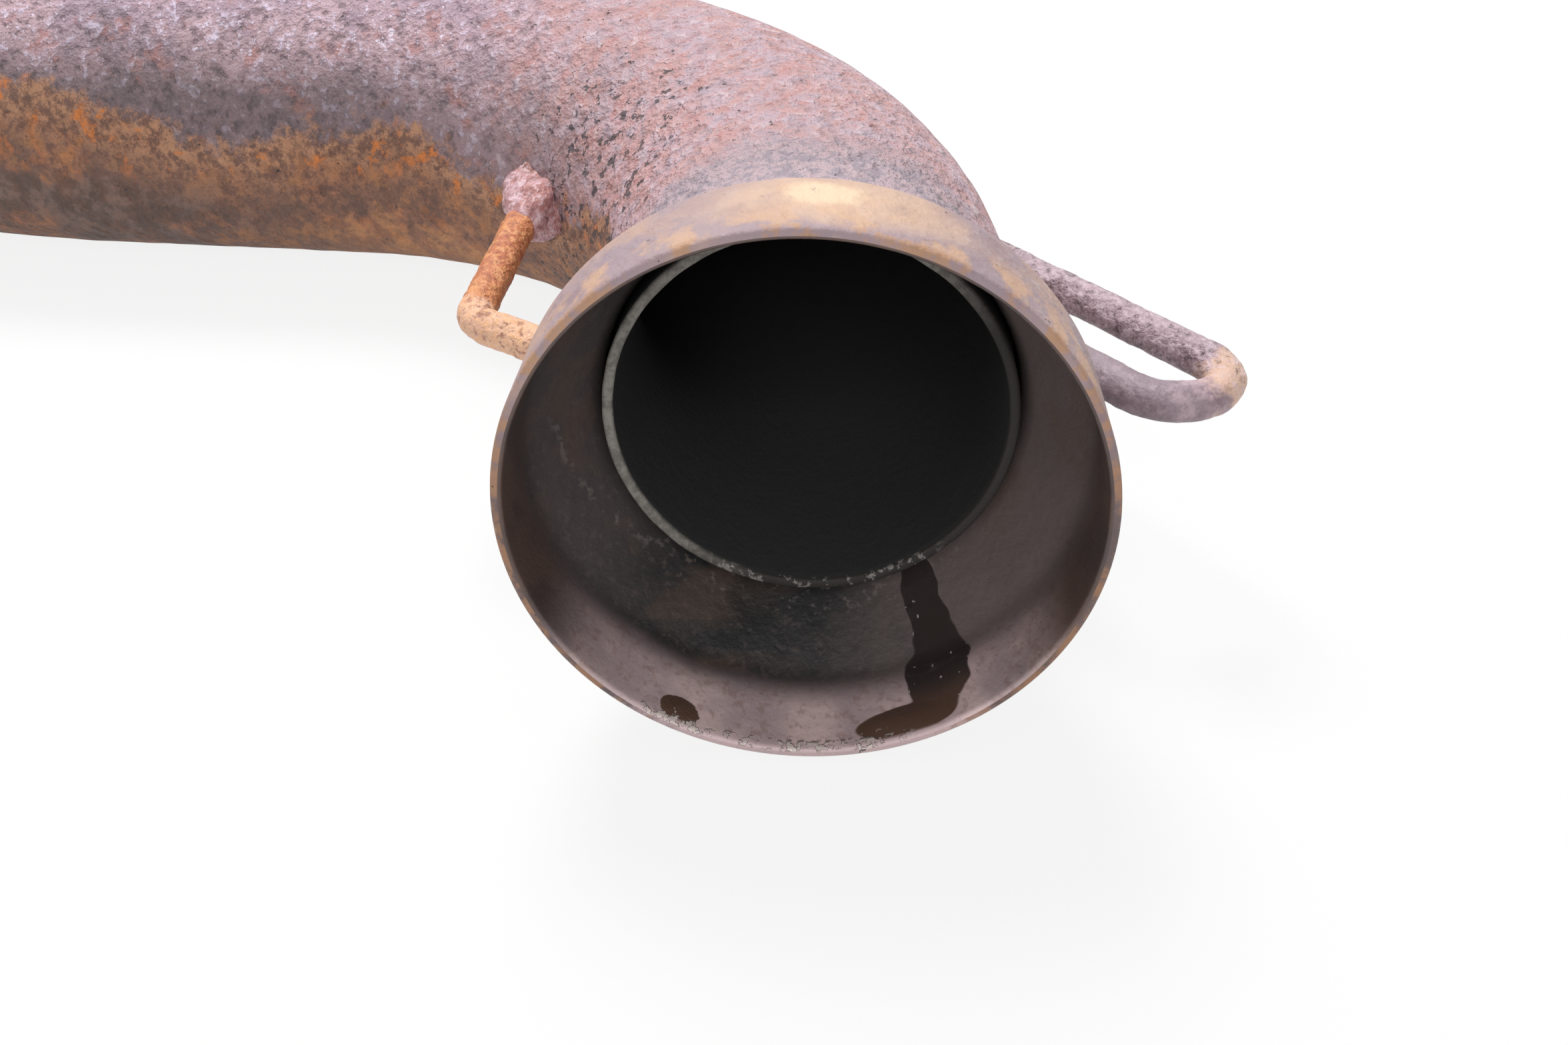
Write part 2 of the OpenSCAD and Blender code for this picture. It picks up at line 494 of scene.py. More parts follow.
def red_scale(p, s):
    """Redder scale round the bend, speckled blue-grey."""
    tint = p.tones(s.blots, 0.42, 0.58, srgb(194, 166, 175), srgb(197, 154, 153))
    tint = p.lay(tint, srgb(186, 126, 122), p.ramp(s.specks, 0.52, 0.62), 0.6)
    tint = p.lay(tint, srgb(156, 146, 160), p.ramp(s.specks, 0.46, 0.38), 0.6)
    # Painted highlights on the grain's peaks and painted shade in its hollows
    tint = p.lay(tint, srgb(228, 204, 212), s.peaks, 0.5)
    return p.lay(tint, srgb(150, 118, 122), s.hollows, 0.55)


def charcoal_scale(p, s):
    """Charcoal scale above the rust and on the inside of the bend, and where it lies."""
    tint = p.tones(s.specks, 0.40, 0.60, srgb(110, 95, 99), srgb(136, 115, 117))
    tint = p.lay(tint, srgb(156, 108, 98), p.ramp(s.blots, 0.58, 0.68), 0.6)
    # Painted highlights on the grain's peaks and painted shade in its hollows
    tint = p.lay(tint, srgb(168, 154, 168), s.peaks, 0.6)
    tint = p.lay(tint, srgb(72, 62, 66), s.hollows, 0.7)
    level = p.plus(s.height, p.swing(s.zones, 0.8), p.swing(s.blots, 0.35))
    band = p.times(p.ramp(level, 0.88, 0.34), p.ramp(s.side, 0.35, -0.1))
    past_bend = p.plus(p.times(p.ramp(s.along, 120, 185), 0.35), 0.6)
    return tint, p.times(band, p.ramp(s.along, 70, 112), past_bend)


def orange_rust(p, s):
    """Orange rust of the lower side, and where it lies: under a ragged edge that
    wanders up and down along the run."""
    crest, crest_to_crest = 151.0, 76.0
    wave = p.math("COSINE", p.times(p.minus(s.along, crest), 2 * pi / crest_to_crest))
    edge = p.plus(
        p.times(wave, 0.15), 0.12, p.times(p.ramp(s.along, 150, 190), 0.14),
        p.swing(s.ragged, 0.6), p.swing(s.blots, 0.4), p.swing(s.specks, 0.22))
    below = p.minus(edge, s.height)

    tawny = p.tones(s.specks, 0.40, 0.60, srgb(120, 85, 71), srgb(192, 142, 110))
    brown = p.tones(s.specks, 0.38, 0.62, srgb(120, 82, 68), srgb(170, 120, 92))
    brown = p.lay(brown, srgb(112, 86, 76), p.ramp(s.ragged, 0.54, 0.42), 0.6)
    brown = p.lay(brown, srgb(184, 128, 86), p.ramp(s.blots, 0.52, 0.62), 0.6)
    brown = p.lay(brown, srgb(94, 72, 64), p.ramp(s.blots, 0.46, 0.36), 0.6)
    tint = p.tones(below, 0.10, 0.42, tawny, brown)

    bright = p.ramp(p.plus(p.cloud(4.6, 4, 0.66, shift=5), p.times(wave, 0.035)), 0.56, 0.66)
    near_edge = p.plus(p.times(p.ramp(below, 0.45, 0.12), 0.7), 0.25)
    tint = p.lay(tint, srgb(220, 130, 62), bright, near_edge)

    low = p.ramp(p.plus(below, p.swing(s.zones, 0.6)), 0.5, 0.9)
    light = p.tones(s.blots, 0.42, 0.58, srgb(192, 134, 100), srgb(224, 162, 114))
    tint = p.lay(tint, light, low, p.ramp(s.along, 190, 165), 0.6)
    sooty = p.times(p.ramp(s.zones, 0.44, 0.56), p.ramp(below, 0.3, 0.6))
    dark = p.tones(s.blots, 0.46, 0.58, srgb(84, 66, 60), srgb(112, 95, 92))
    tint = p.lay(tint, dark, sooty, p.ramp(s.along, 178, 200), 0.75)
    # Painted shade in the grain's hollows
    tint = p.lay(tint, srgb(84, 60, 50), s.hollows, 0.35)
    return tint, p.times(p.ramp(below, -0.05, 0.08), p.ramp(s.along, 40, 75))


def worn_socket(p, s):
    """Worn pale scale of the socket with a painted highlight on its top, and the grey neck
    behind it, and where they lie.
    """
    tint = p.tones(s.zones, 0.40, 0.60, srgb(160, 137, 140), srgb(176, 148, 142))
    tint = p.lay(tint, srgb(156, 138, 148), p.ramp(s.blots, 0.56, 0.46), 0.6)
    tint = p.lay(tint, srgb(194, 160, 140), p.ramp(s.ragged, 0.52, 0.64), 0.6)
    tint = p.lay(tint, srgb(142, 118, 122), p.ramp(s.ragged, 0.48, 0.38), 0.6)
    by_rim = p.ramp(p.plus(s.along, p.swing(s.zones, 16)), 8, 3)
    tint = p.lay(tint, srgb(206, 166, 134), by_rim, p.ramp(s.blots, 0.44, 0.58), 0.7)

    # Painted highlight on top: a peach patch with a brighter heart
    uneven = p.swing(s.blots, 2.2)
    top = p.ramp(s.height, 0.0, 0.3)
    patch = p.plus(p.spot(s.along, s.side, (8.0, 0.10), (6.5, 0.42)), uneven)
    tint = p.lay(tint, srgb(222, 186, 154), p.ramp(patch, 1.3, 0.1), top, 0.65)
    highlight_heart = p.plus(p.spot(s.along, s.side, (8.5, 0.06), (3.6, 0.15)), uneven)
    tint = p.lay(tint, srgb(240, 216, 182), p.ramp(highlight_heart, 1.1, 0.2), top, 0.6)
    tint = p.lay(tint, srgb(112, 94, 96), p.ramp(s.specks, 0.38, 0.30), 0.5)

    neck = p.tones(s.specks, 0.44, 0.56, srgb(150, 136, 146), srgb(186, 163, 169))
    tint = p.tones(p.plus(s.along, p.swing(s.zones, 14)), 17, 24, tint, neck)
    reach = p.plus(s.along, p.swing(s.zones, 20), p.times(s.side, 6))
    return tint, p.ramp(reach, 50, 36)


def black_pits(p, s):
    """Where pits lie: thick on the inside of the bend, and sparse elsewhere on it."""
    cluster = p.ramp(p.spot(s.along, s.side, (82.0, -0.80), (30.0, 0.5)), 1.4, 0.3)
    where = p.times(p.ramp(s.along, 28, 38), p.ramp(s.along, 165, 110))
    cover = p.times(where, p.plus(p.times(cluster, 0.25), p.swing(s.zones, 0.4), 0.05))
    return p.group(FLECKS, Size=1.6, Cover=cover, Soft=0.03, Shift=0.6)


def rusted_outside():
    """Outside of the outer tube: mauve scale above, a charcoal band, orange rust
    below, pitted red scale on the bend and worn pale scale on the socket."""
    material, p, shader = new_finish("rusted_outside")
    s = Skin(p)
    bend = p.plus(s.along, p.swing(s.zones, 60))
    colour = p.tones(bend, 150, 105, mauve_scale(p, s), red_scale(p, s))
    colour = p.lay(colour, *charcoal_scale(p, s))
    rust, rusty = orange_rust(p, s)
    colour = p.lay(colour, rust, rusty)
    colour = p.lay(colour, *worn_socket(p, s))

    # Darker on the lower side of the socket and neck, painted shade for a hollow by the left
    # weld, the rim, and a painted highlight along the lip at the bottom
    darker_below = p.tones(s.blots, 0.4, 0.6, srgb(86, 72, 70), srgb(118, 92, 82))
    colour = p.lay(colour, darker_below, p.ramp(s.height, 0.60, -0.05), p.ramp(s.along, 62, 30), 0.85)
    # Painted shade standing in for a hollow by the left weld
    painted_hollow_shade = p.spot(s.along, s.height, (105.5, -0.115), (3.2, 0.07))
    painted_hollow_shade = p.ramp(p.plus(painted_hollow_shade, p.swing(s.specks, 1.5)), 1.2, 0.4)
    colour = p.lay(colour, srgb(62, 48, 44), painted_hollow_shade, p.ramp(s.side, -0.7, -0.9), 0.85)
    rim = p.times(p.ramp(s.along, 1.4, 0.4), p.ramp(s.blots, 0.42, 0.56))
    colour = p.lay(colour, srgb(168, 124, 92), rim, 0.6)
    # Painted highlight along the lip at the bottom, which is glossier too
    bottom = p.ramp(p.plus(s.height, p.swing(s.specks, 0.3)), -0.72, -0.92)
    lip_highlight = p.times(p.ramp(s.along, 1.0, 0.4), bottom)
    colour = p.lay(colour, LIP_HIGHLIGHT, lip_highlight, 0.8)

    pits = black_pits(p, s)
    colour = p.lay(colour, srgb(52, 48, 54), pits, 0.85)
    p.feed(shader.inputs["Base Color"], colour)

    matt = p.plus(p.swing(s.specks, 0.3), 0.64)
    scale_gloss = p.times(s.peaks, p.minus(1.0, rusty), 0.28)
    p.feed(shader.inputs["Roughness"], p.minus(matt, p.plus(scale_gloss, p.times(lip_highlight, 0.35))))
    shader.inputs["Specular IOR Level"].default_value = 0.5
    calm = p.plus(p.times(p.ramp(s.along, 24, 40), 0.80), 0.20)
    emboss(p, shader, p.minus(p.times(s.grain, calm), p.times(pits, 0.4)), 1.6)
    return material


def soot(p, side, clouds, grit):
    """Soot over brown scale, darkest left of the middle and paler towards the right."""
    tint = p.tones(clouds, 0.38, 0.62, srgb(48, 47, 49), srgb(70, 64, 61))
    tint = p.lay(tint, srgb(118, 105, 103), p.ramp(side, 0.0, 0.7), 0.8)
    tint = p.lay(tint, srgb(32, 33, 35), p.ramp(side, 0.25, -0.3), 0.6)
    tint = p.lay(tint, srgb(88, 80, 79), p.ramp(side, -0.55, -0.95), 0.8)
    tint = p.lay(tint, srgb(112, 100, 94), p.ramp(grit, 0.54, 0.66), 0.25)
    streaks = p.cloud(9, 3, 0.6, shift=2, stretch=(0.3, 1.8, 1.0))
    return p.lay(tint, srgb(104, 84, 72), p.ramp(streaks, 0.50, 0.64), 0.35)


def pale_crumbs(p, along, height, angle, grit):
    """Crumbs in a broken line round the taper at the left, and at the liner's foot."""
    line = p.plus(p.times(p.plus(angle, 88.0), 0.10), 17.4)
    off_line = p.math("ABSOLUTE", p.minus(along, line))
    crumbs = p.times(
        p.ramp(off_line, 0.7, 0.3), p.ramp(grit, 0.52, 0.60),
        p.ramp(angle, -38, -46), p.ramp(angle, -100, -92))
    foot = p.times(p.ramp(along, 19.4, 20.8), p.ramp(grit, 0.58, 0.66))
    return p.most(crumbs, p.times(foot, p.ramp(height, -0.5, -0.85)))


def smoked_inside():
    """Inside of the outer tube: soot, a paler band behind the rim, partly worn and partly
    painted light, crumbs, and a wet run down to the rim with painted glints."""
    material, p, shader = new_finish("smoked_inside")
    along, height, side = p.skin()
    # 0 at the bottom, + to the right
    angle = p.times(p.math("ARCTAN2", side, p.times(height, -1.0)), 180 / pi)
    clouds = p.cloud(8, 4, 0.6)
    grit = p.cloud(1.1, 3, 0.65, shift=1)
    # The band behind the rim: partly its own paler colour and partly painted light, brightest
    # at the bottom where it faces the lamps, with painted shade up its sides
    band = p.tones(clouds, 0.36, 0.64, srgb(204, 180, 182), srgb(240, 212, 210))
    band = p.lay(band, srgb(166, 130, 118), p.ramp(grit, 0.52, 0.64), 0.4)
    sides = p.tones(clouds, 0.40, 0.60, srgb(82, 69, 67), srgb(98, 78, 71))
    band = p.tones(height, -0.80, -0.35, band, sides)
    # Painted shadow edge where the band fades into the soot deeper in
    by_rim = p.plus(along, p.swing(clouds, 3.0))
    colour = p.tones(by_rim, 13.0, 6.6, soot(p, side, clouds, grit), band)
    crumbs = pale_crumbs(p, along, height, angle, grit)
    colour = p.lay(colour, srgb(150, 140, 136), crumbs, 0.25)

    # A wet run from the nested tube's end down to a pool by the rim, and a drop
    wander = p.plus(angle, p.swing(p.cloud(3.2, 1, shift=3), 4.0))
    neck = p.spot(along, wander, (19.5, 30.2), (6.5, 5.2))
    body = p.spot(along, wander, (9.6, 29.8), (7.4, 7.8))
    pool = p.spot(along, wander, (2.9, 22.0), (2.7, 11.5))
    run = p.join(p.join(neck, body), pool)
    film = p.least(p.times(p.minus(1.0, run), 3.0), p.times(p.minus(along, 0.5), 3.0))
    ripple = p.swing(grit, 0.8)
    drop = p.plus(p.spot(along, angle, (2.4, -28.0), (2.1, 4.6)), ripple)
    depth = p.most(film, p.times(p.minus(1.0, drop), 3.0))
    wet = p.ramp(depth, -0.15, 0.35)

    damp = p.plus(p.spot(along, wander, (21.2, -15.5), (3.4, 7.0)), ripple)
    colour = p.lay(colour, srgb(36, 33, 32), p.ramp(damp, 1.5, 0.4), 0.6)
    stain = p.lay(srgb(54, 47, 45), srgb(118, 84, 62), p.ramp(along, 9, 3), 0.6)
    colour = p.lay(colour, stain, wet, 0.95)
    # Painted highlight along the lip at the bottom
    lip_highlight = p.times(p.ramp(along, 1.0, 0.4), p.ramp(height, -0.72, -0.92))
    colour = p.lay(colour, LIP_HIGHLIGHT, lip_highlight, 0.8)
    # Painted glints on bubbles in the wet run and on beads of wet along the rim at the bottom
    bubble_glints = p.times(p.ramp(p.cloud(0.8, 1, shift=4), 0.72, 0.76), wet, 0.6)
    by_drop = p.ramp(p.spot(along, angle, (0.5, -30.0), (2.0, 9.0)), 1.2, 0.8)
    rim_bead_glints = p.times(
        p.ramp(along, 1.7, 1.1), p.ramp(grit, 0.52, 0.58),
        p.most(p.ramp(height, -0.90, -0.97), by_drop))
    colour = p.mix(p.most(bubble_glints, rim_bead_glints), colour, srgb(230, 214, 208))
    p.feed(shader.inputs["Base Color"], colour)

    dry = p.plus(p.swing(clouds, 0.3), 0.44)
    wet_roughness = 0.08
    shine = p.times(p.most(wet, rim_bead_glints), p.minus(dry, wet_roughness))
    p.feed(shader.inputs["Roughness"], p.minus(dry, shine))
    shader.inputs["Specular IOR Level"].default_value = 0.5
    grain = p.group(GRAIN, Scale=0.5, Crust=0.8)
    swell = p.times(p.ramp(depth, 0.0, 4.0), 0.25)
    rough = p.times(grain, p.minus(1.0, wet), 0.2)
    emboss(p, shader, p.plus(rough, swell, p.times(rim_bead_glints, 0.2)), 1.0)
    return material


def sooted_liner():
    """The nested tube: a worn grey end with painted shade towards the bottom and right, wet at
    the bottom with painted glints, and soot inside.
    """
    material, p, shader = new_finish("sooted_liner")
    along, height, side = p.skin()
    grit = p.cloud(1.2, 3, 0.65)
    end = p.tones(grit, 0.40, 0.60, srgb(122, 118, 112), srgb(150, 146, 139))
    # Painted shade: the end darker towards the bottom and right
    lit = p.minus(p.times(height, 0.8), side)
    end = p.tones(lit, -0.6, 0.3, srgb(58, 55, 53), end)
    # Painted glints where the end is wet at the bottom
    wet = p.times(p.ramp(height, -0.70, -0.86), p.ramp(grit, 0.54, 0.60))
    end = p.lay(end, srgb(176, 170, 164), wet, 0.55)
    face = p.ramp(along, LINER_RECESS + 0.9, LINER_RECESS + 0.3)
    p.feed(shader.inputs["Base Color"], p.lay(srgb(64, 64, 64), end, face))
    p.feed(shader.inputs["Roughness"], p.minus(0.7, p.times(wet, face, 0.55)))
    shader.inputs["Specular IOR Level"].default_value = 0.25
    emboss(p, shader, p.group(GRAIN, Scale=0.5, Crust=1.0), 0.2)
    return material


def rusted_bar(name, light, dark, patch, spots, zones, calm_from=PAST_ANY_BAR):
    """Flaky rust on a hook's bar. Each zone is (from, to, colour, how much) along it,
    and the rust is smoother from calm_from on."""
    material, p, shader = new_finish(name)
    along = p.skin()[0]
    grain = p.group(GRAIN, Scale=0.7, Crust=1.0)
    blots = p.cloud(3.2, 4, 0.62)
    specks = p.cloud(1.0, 3, 0.68, shift=1)
    colour = p.tones(blots, 0.40, 0.60, light, dark)
    place = p.plus(along, p.swing(blots, 12))
    fade = 3
    for start, end, tint, amount in zones:
        inside = p.times(p.ramp(place, start, start + fade), p.ramp(place, end, end - fade))
        colour = p.lay(colour, tint, inside, amount)
    rough = p.minus(1.0, p.times(p.ramp(place, calm_from, calm_from + 5), 0.65))
    colour = p.lay(colour, patch, p.ramp(specks, 0.50, 0.62), 0.6, rough)
    # Painted highlights on the grain's peaks
    colour = p.lay(colour, patch, p.ramp(grain, 0.04, 0.22), 0.45, rough)
    colour = p.lay(colour, spots, p.ramp(specks, 0.44, 0.34), 0.7, rough)
    # Painted shade in the grain's hollows
    colour = p.lay(colour, spots, p.ramp(grain, -0.04, -0.20), 0.7, rough)
    p.feed(shader.inputs["Base Color"], colour)
    p.feed(shader.inputs["Roughness"], p.plus(p.times(specks, 0.4), 0.38))
    emboss(p, shader, p.times(grain, rough), 0.9)
    return material


# ---------------------------------------------------------------- pieces

# Parts of the outer tube's skin, in the order of its materials
ON_OUTSIDE, ON_INSIDE, ON_CUT = 0, 1, 2
# The rounded rim: how far behind the mouth, and how far in from the wall's face
RIM_ROUND = ((0.0, 0.42), (0.07, 0.22), (0.25, 0.05))


def outer_tube():
    """Socket, bend and run as one closed wall, with scale raised on its outside."""
    end = PIPE.length
    inside_r = TUBE_R - WALL
    rings = [(s, SOCKET_R - inset, ON_OUTSIDE) for s, inset in RIM_ROUND]
    rings += [(s, socket_radius(s, 0), ON_OUTSIDE) for s in steps(0.6, 30, 0.95)]
    rings += [(s, TUBE_R, ON_OUTSIDE) for s in steps(31, 250, 1.0)]
    rings += [(s, TUBE_R, ON_OUTSIDE) for s in steps(252, end, 2.2)]
    rings += [(end, inside_r, ON_CUT)]
    rings += [(s, inside_r, ON_INSIDE) for s in steps(end - 5, 48, 6)]
    rings += [(s, socket_radius(s, WALL), ON_INSIDE) for s in steps(42, 0.6, 0.95)]
    rings += [(s, SOCKET_R - WALL + inset, ON_INSIDE) for s, inset in reversed(RIM_ROUND)]
    bm = draw_skin(PIPE, rings, 200, closed=True)

    def relief(point, along):
        """Crust and broad swells, none at the rim and a quarter on the socket."""
        from_rim = min(1.0, max(0.0, along / 3.0))
        past_socket = min(1.0, max(0.25, (along - 20) / 14))
        crust = 0.13 * lump(point, 4.2, 1)
        broad = 0.084 * lump(point, 17.0, 3)
        return (broad + crust) * past_socket * from_rim

    roughen(bm, relief)
    return bm


def inner_tube():
    """The nested tube, with a worn end a little below the socket's taper."""
    start, end = LINER_RECESS, PIPE.length
    rings = [(start, LINER_R - 0.35, 0), (start + 0.1, LINER_R - 0.12, 0)]
    rings += [(start + 0.4, LINER_R, 0)]
    rings += [(s, LINER_R, 0) for s in steps(start + 2, end, 6)]
    rings += [(s, LINER_BORE_R, 0) for s in steps(end, start + 12, 6)]
    rings += [(s, LINER_BORE_R, 0) for s in steps(start + 10, start + 0.4, 1.2)]
    rings += [(start + 0.1, LINER_BORE_R + 0.12, 0), (start, LINER_BORE_R + 0.35, 0)]
    bm = draw_skin(PIPE, rings, 160, closed=True)
    worn = 4
    roughen(bm, lambda point, along: (
        max(0.0, 1 - (along - start) / worn) * 0.07 * lump(point, 2.5, 5)))
    return bm


def stop_short(turn):
    """How far short of the wall a bar ends when it meets it at an angle off square."""
    return max(0.0, (BAR_R * sin(radians(turn)) - BAR_BITE) / cos(radians(turn)))


FLAKES = ((3.2, 0.16), (1.3, 0.10), (0.6, 0.05))


def bar(route, flaky, seed):
    """A round bar along a route, more or less flaky with rust."""
    end_r = BAR_R * 0.9
    rings = [(0, end_r, 0)]
    rings += [(s, BAR_R, 0) for s in steps(0.2, route.length - 0.2, 0.3)]
    rings += [(route.length, end_r, 0)]
    bm = draw_skin(route, rings, 56)
    roughen(bm, lambda point, _: flaky * lumps(point, FLAKES, seed))
    return bm


LEFT_OUT, LEFT_CORNER, LEFT_CORNER_R, LEFT_TURN = 44.5, 46.3, 6.0, 55.0
LEFT_FOOT = NECK + sqrt((BEND_R - TUBE_R) ** 2 - (BEND_R - LEFT_OUT) ** 2)
LEFT_NECK_Z = LEFT_CORNER - (LEFT_OUT - TUBE_R) / tan(radians(LEFT_TURN))
LEFT_SETBACK = LEFT_CORNER_R * tan(radians(LEFT_TURN / 2))


def left_hook():
    slant = degrees(acos((BEND_R - LEFT_OUT) / (BEND_R - TUBE_R)))
    top = LEFT_FOOT - stop_short(90 - slant)
    corner = LEFT_CORNER + LEFT_SETBACK
    reach = (LEFT_OUT - TUBE_R) / sin(radians(LEFT_TURN)) - LEFT_SETBACK
    route = Route((LEFT_OUT, 0, top), 180, [
        (top - corner, 0), (arc(LEFT_CORNER_R, LEFT_TURN), LEFT_CORNER_R),
        (reach - stop_short(90 - LEFT_TURN), 0),
    ])
    return bar(route, 1.0, 20)


RIGHT_OUT, RIGHT_END, RIGHT_END_R, RIGHT_LEAN = 42.2, 32.7, 6.5, 37.0
LEAN = direction(RIGHT_LEAN)
ACROSS = Vector((cos(radians(RIGHT_LEAN)), 0, -sin(radians(RIGHT_LEAN))))
RIGHT_NEAR = Vector((-RIGHT_OUT, 0, RIGHT_END)) + RIGHT_END_R * ACROSS
RIGHT_FAR = Vector((-RIGHT_OUT, 0, RIGHT_END)) - RIGHT_END_R * ACROSS
NEAR_LEG = (-TUBE_R - RIGHT_NEAR.x) / sin(radians(RIGHT_LEAN))


def far_leg():
    """Length of the right hook's far leg, to the outside of the bend."""
    gap = RIGHT_FAR - BEND_CENTRE
    b = gap.dot(LEAN)
    return -b - sqrt(b * b - gap.dot(gap) + (BEND_R + TUBE_R) ** 2)


FAR_LEG = far_leg()
FAR_FOOT = RIGHT_FAR + LEAN * FAR_LEG


def right_hook():
    out = (FAR_FOOT - BEND_CENTRE).normalized()
    far_short = stop_short(degrees(acos(-out.dot(LEAN))))
    near_short = stop_short(90 - RIGHT_LEAN)
    route = Route(FAR_FOOT - LEAN * far_short, 180 + RIGHT_LEAN, [
        (FAR_LEG - far_short, 0), (arc(RIGHT_END_R, 180), -RIGHT_END_R),
        (NEAR_LEG - near_short, 0),
    ])
    return bar(route, 0.8, 30)


WELD_LUMPS = ((3.6, 0.95), (1.7, 0.55), (0.9, 0.2))
# A mound's centre and its flat underside, both this far under the wall
WELD_SUNK, WELD_CUT = 2.2, 1.5
# The higher, the narrower a mound's tongue
TONGUE_POWER = 7
# Points this near a mound's foot take their height over it
WELD_REACH = 12


def weld(bm, foot, outward, bar_way, tongue, size, seed):
    """A lumpy mound of weld on the tube's wall: foot on the wall, outward off it,
    with a tongue that runs up the bar."""
    outward = outward.normalized()
    along = (bar_way - outward * bar_way.dot(outward)).normalized()
    across = outward.cross(along)
    turn = Matrix((along, across, outward)).transposed().to_4x4()
    hub = foot - outward * WELD_SUNK
    long, wide, high = size
    grown = Matrix.Diagonal((long, wide, high + WELD_SUNK, 1))
    made = bmesh.ops.create_icosphere(bm, subdivisions=5, radius=1)["verts"]
    bmesh.ops.transform(bm, matrix=Matrix.Translation(hub) @ turn @ grown, verts=made)
    for v in made:
        toward = (v.co - hub).normalized()
        v.co += toward * tongue * max(0.0, toward.dot(bar_way)) ** TONGUE_POWER
    bm.normal_update()
    for v in made:
        v.co += v.normal * lumps(v.co, WELD_LUMPS, seed)

    mine = set(made)
    geom = made + [e for e in bm.edges if mine.issuperset(e.verts)]
    geom += [f for f in bm.faces if mine.issuperset(f.verts)]
    cut = bmesh.ops.bisect_plane(
        bm, geom=geom, plane_co=foot - outward * WELD_CUT, plane_no=outward, clear_inner=True)
    bmesh.ops.edgenet_fill(bm, edges=only(bmesh.types.BMEdge, cut["geom_cut"]))
    bmesh.ops.recalc_face_normals(bm, faces=bm.faces)
    layer = bm.verts.layers.float_vector["skin"]
    for v in bm.verts:
        if (v.co - foot).length < WELD_REACH:
            v[layer] = ((v.co - foot).dot(outward), 0, 0)


def welds(*mounds):
    """Mounds of weld in one mesh, each given as weld takes it."""
    bm = bmesh.new()
    bm.verts.layers.float_vector.new("skin")
    for mound in mounds:
        weld(bm, *mound)
    return bm


def left_welds():
    foot = Vector((LEFT_OUT, 0, LEFT_FOOT))
    # The mound sits above the bar's foot and runs over it
    middle = foot + Vector((-1.0, 1.4, 1.0))
    up_bar = Vector((0.12, -0.1, -1)).normalized()
    neck_foot = Vector((TUBE_R, 0, LEFT_NECK_Z))
    return welds(
        (middle, BEND_CENTRE - foot, up_bar, 6.5, (6.4, 5.0, 4.4), 40),
        (neck_foot, Vector((1, 0, 0)), direction(LEFT_TURN), 1.5, (5.0, 4.6, 3.2), 43))


def right_welds():
    near_foot = RIGHT_NEAR + LEAN * NEAR_LEG
    return welds(
        (FAR_FOOT, FAR_FOOT - BEND_CENTRE, -LEAN, 2.5, (6.4, 4.6, 3.4), 46),
        (near_foot, Vector((-1, 0, 0)), -LEAN, 1.5, (5.6, 4.4, 3.2), 49))


OUTSIDE = rusted_outside()
INSIDE = smoked_inside()
LINER = sooted_liner()
LEFT_BAR = rusted_bar(
    "left_bar_rust",
    srgb(216, 144, 94), srgb(190, 114, 78), srgb(232, 176, 126), srgb(142, 86, 70),
    [(-9, 5, srgb(196, 132, 118), 0.7), (35, 90, srgb(246, 208, 180), 0.62)])
RIGHT_BAR = rusted_bar(
    "right_bar_rust",
    srgb(182, 158, 167), srgb(150, 127, 135), srgb(214, 194, 203), srgb(76, 62, 66),
    [(-9, 8, srgb(140, 116, 116), 0.8),
     (FAR_LEG - 2, FAR_LEG + 9, srgb(220, 182, 158), 0.85),
     (FAR_LEG + 9, 99, srgb(140, 123, 131), 0.85)], calm_from=FAR_LEG + 2)
LEFT_WELD = rusted_bar(
    "left_weld_rust",
    srgb(196, 158, 166), srgb(184, 130, 126), srgb(240, 214, 220), srgb(126, 88, 86),
    [(-9, 2.6, srgb(168, 114, 94), 0.75)])
RIGHT_WELD = rusted_bar(
    "right_weld_rust",
    srgb(156, 130, 134), srgb(128, 102, 102), srgb(196, 166, 158), srgb(64, 50, 52),
    [(-9, 1.5, srgb(150, 116, 110), 0.6)])

set_down(
    outer_tube(), "outer_tube_rusted", "root", ["outer_tube"],
    [OUTSIDE, INSIDE, INSIDE])
set_down(inner_tube(), "inner_tube_sooted", "root", ["inner_tube"], [LINER])
set_down(left_hook(), "left_hook_bar", "root", ["left_hook"], [LEFT_BAR])
set_down(right_hook(), "right_hook_bar", "root", ["right_hook"], [RIGHT_BAR])
set_down(
    left_welds(), "left_hook_beads", "root", ["left_hook_welds"], [LEFT_WELD])
set_down(
    right_welds(), "right_hook_beads", "root", ["right_hook_welds"],
    [RIGHT_WELD])


# ---------------------------------------------------------------- stage, in metres

FLOOR_GAP = 0.0002
FLOOR_REACH = 6.0
# How much of the floor and of the surroundings is bright only to the eye
FLOOR_GLOW = 0.85
AMBIENT = 0.36


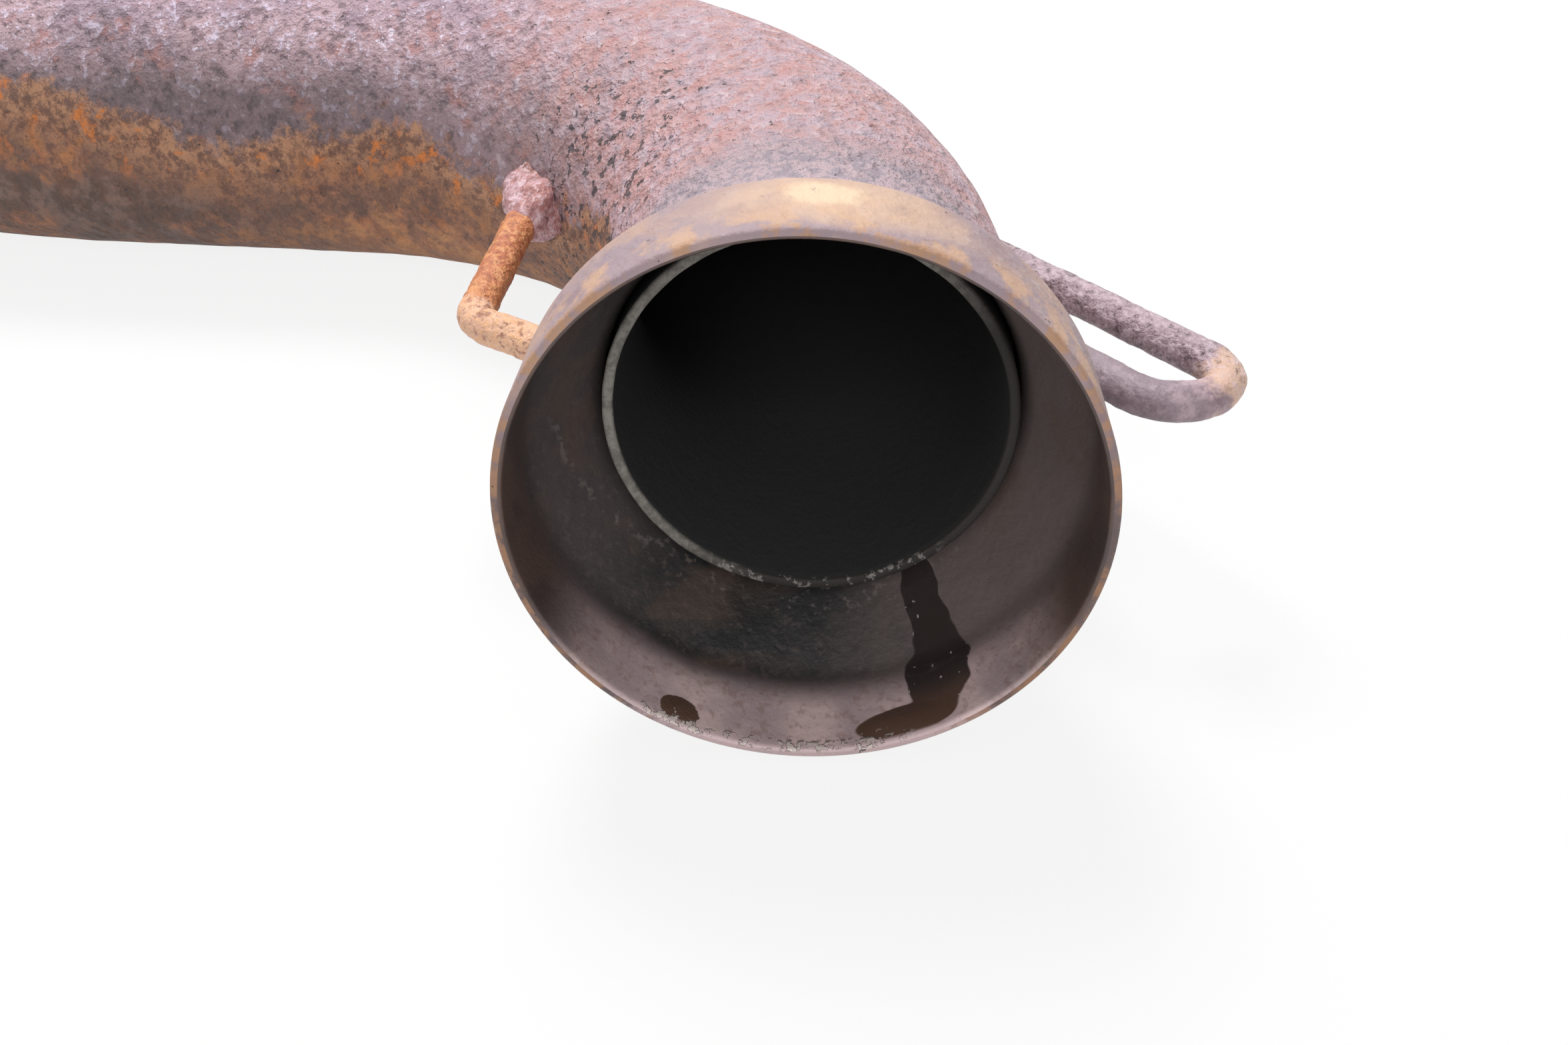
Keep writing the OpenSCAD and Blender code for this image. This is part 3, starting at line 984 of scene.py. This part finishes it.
def pale_floor():
    """A plain pale floor under the pipe, seen near white with a faint shadow."""
    low = cad_box[0].z
    bm = bmesh.new()
    bmesh.ops.create_grid(bm, x_segments=1, y_segments=1, size=FLOOR_REACH)
    bmesh.ops.translate(bm, vec=(0, 0, low - FLOOR_GAP), verts=bm.verts)
    mesh = bpy.data.meshes.new("pale_floor")
    bm.to_mesh(mesh)
    bm.free()
    material, p, shader = new_finish("pale_floor")
    shader.inputs["Base Color"].default_value = (0.8, 0.8, 0.8, 1)
    shader.inputs["Roughness"].default_value = 0.9
    shader.inputs["Specular IOR Level"].default_value = 0.0
    glow = p.node("ShaderNodeEmission")
    glow.inputs["Color"].default_value = (1, 1, 1, 1)
    blend = p.node("ShaderNodeMixShader")
    p.feed(blend.inputs[0], p.times(p.seen_straight(), FLOOR_GLOW))
    p.feed(blend.inputs[1], shader.outputs[0])
    p.feed(blend.inputs[2], glow.outputs[0])
    p.feed(p.tree.nodes["Material Output"].inputs["Surface"], blend.outputs[0])
    mesh.materials.append(material)
    floor = bpy.data.objects.new("pale_floor", mesh)
    bpy.context.scene.collection.objects.link(floor)


def soft_lamp(name, place, aim, size, watts):
    lamp = bpy.data.lights.new(name, "AREA")
    lamp.shape = "RECTANGLE"
    lamp.size, lamp.size_y = size
    lamp.energy = watts
    made = bpy.data.objects.new(name, lamp)
    made.location = place
    made.rotation_euler = (Vector(aim) - Vector(place)).to_track_quat("-Z", "Y").to_euler()
    bpy.context.scene.collection.objects.link(made)


def studio():
    """White surroundings, dimmer as a light than as they look, and two soft lamps."""
    world = bpy.data.worlds.new("studio")
    world.use_nodes = True
    tree = world.node_tree
    back = tree.nodes["Background"]
    p = Paint(tree)
    back.inputs["Color"].default_value = (1, 1, 1, 1)
    extra = p.times(p.seen_straight(), 1 - AMBIENT)
    p.feed(back.inputs["Strength"], p.plus(AMBIENT, extra))
    bpy.context.scene.world = world
    soft_lamp("overhead", (-0.25, 0.60, 1.1), (-0.08, 0.08, 0.0), (0.5, 0.4), 15)
    soft_lamp("front_fill", (0.1, -1.2, 0.85), (0.0, 0.02, 0.0), (0.6, 0.5), 7)


pale_floor()
studio()

camera = bpy.data.objects.new("camera", bpy.data.cameras.new("camera"))
camera.data.sensor_width = 36.0
camera.data.lens = 33.67
camera.data.clip_start = 0.01
camera.location = (0.006233, -0.118204, 0.090378)
camera.rotation_euler = (radians(52.718), radians(1.754), radians(2.615))
bpy.context.scene.collection.objects.link(camera)
bpy.context.scene.camera = camera
bpy.context.scene.view_settings.view_transform = "Standard"
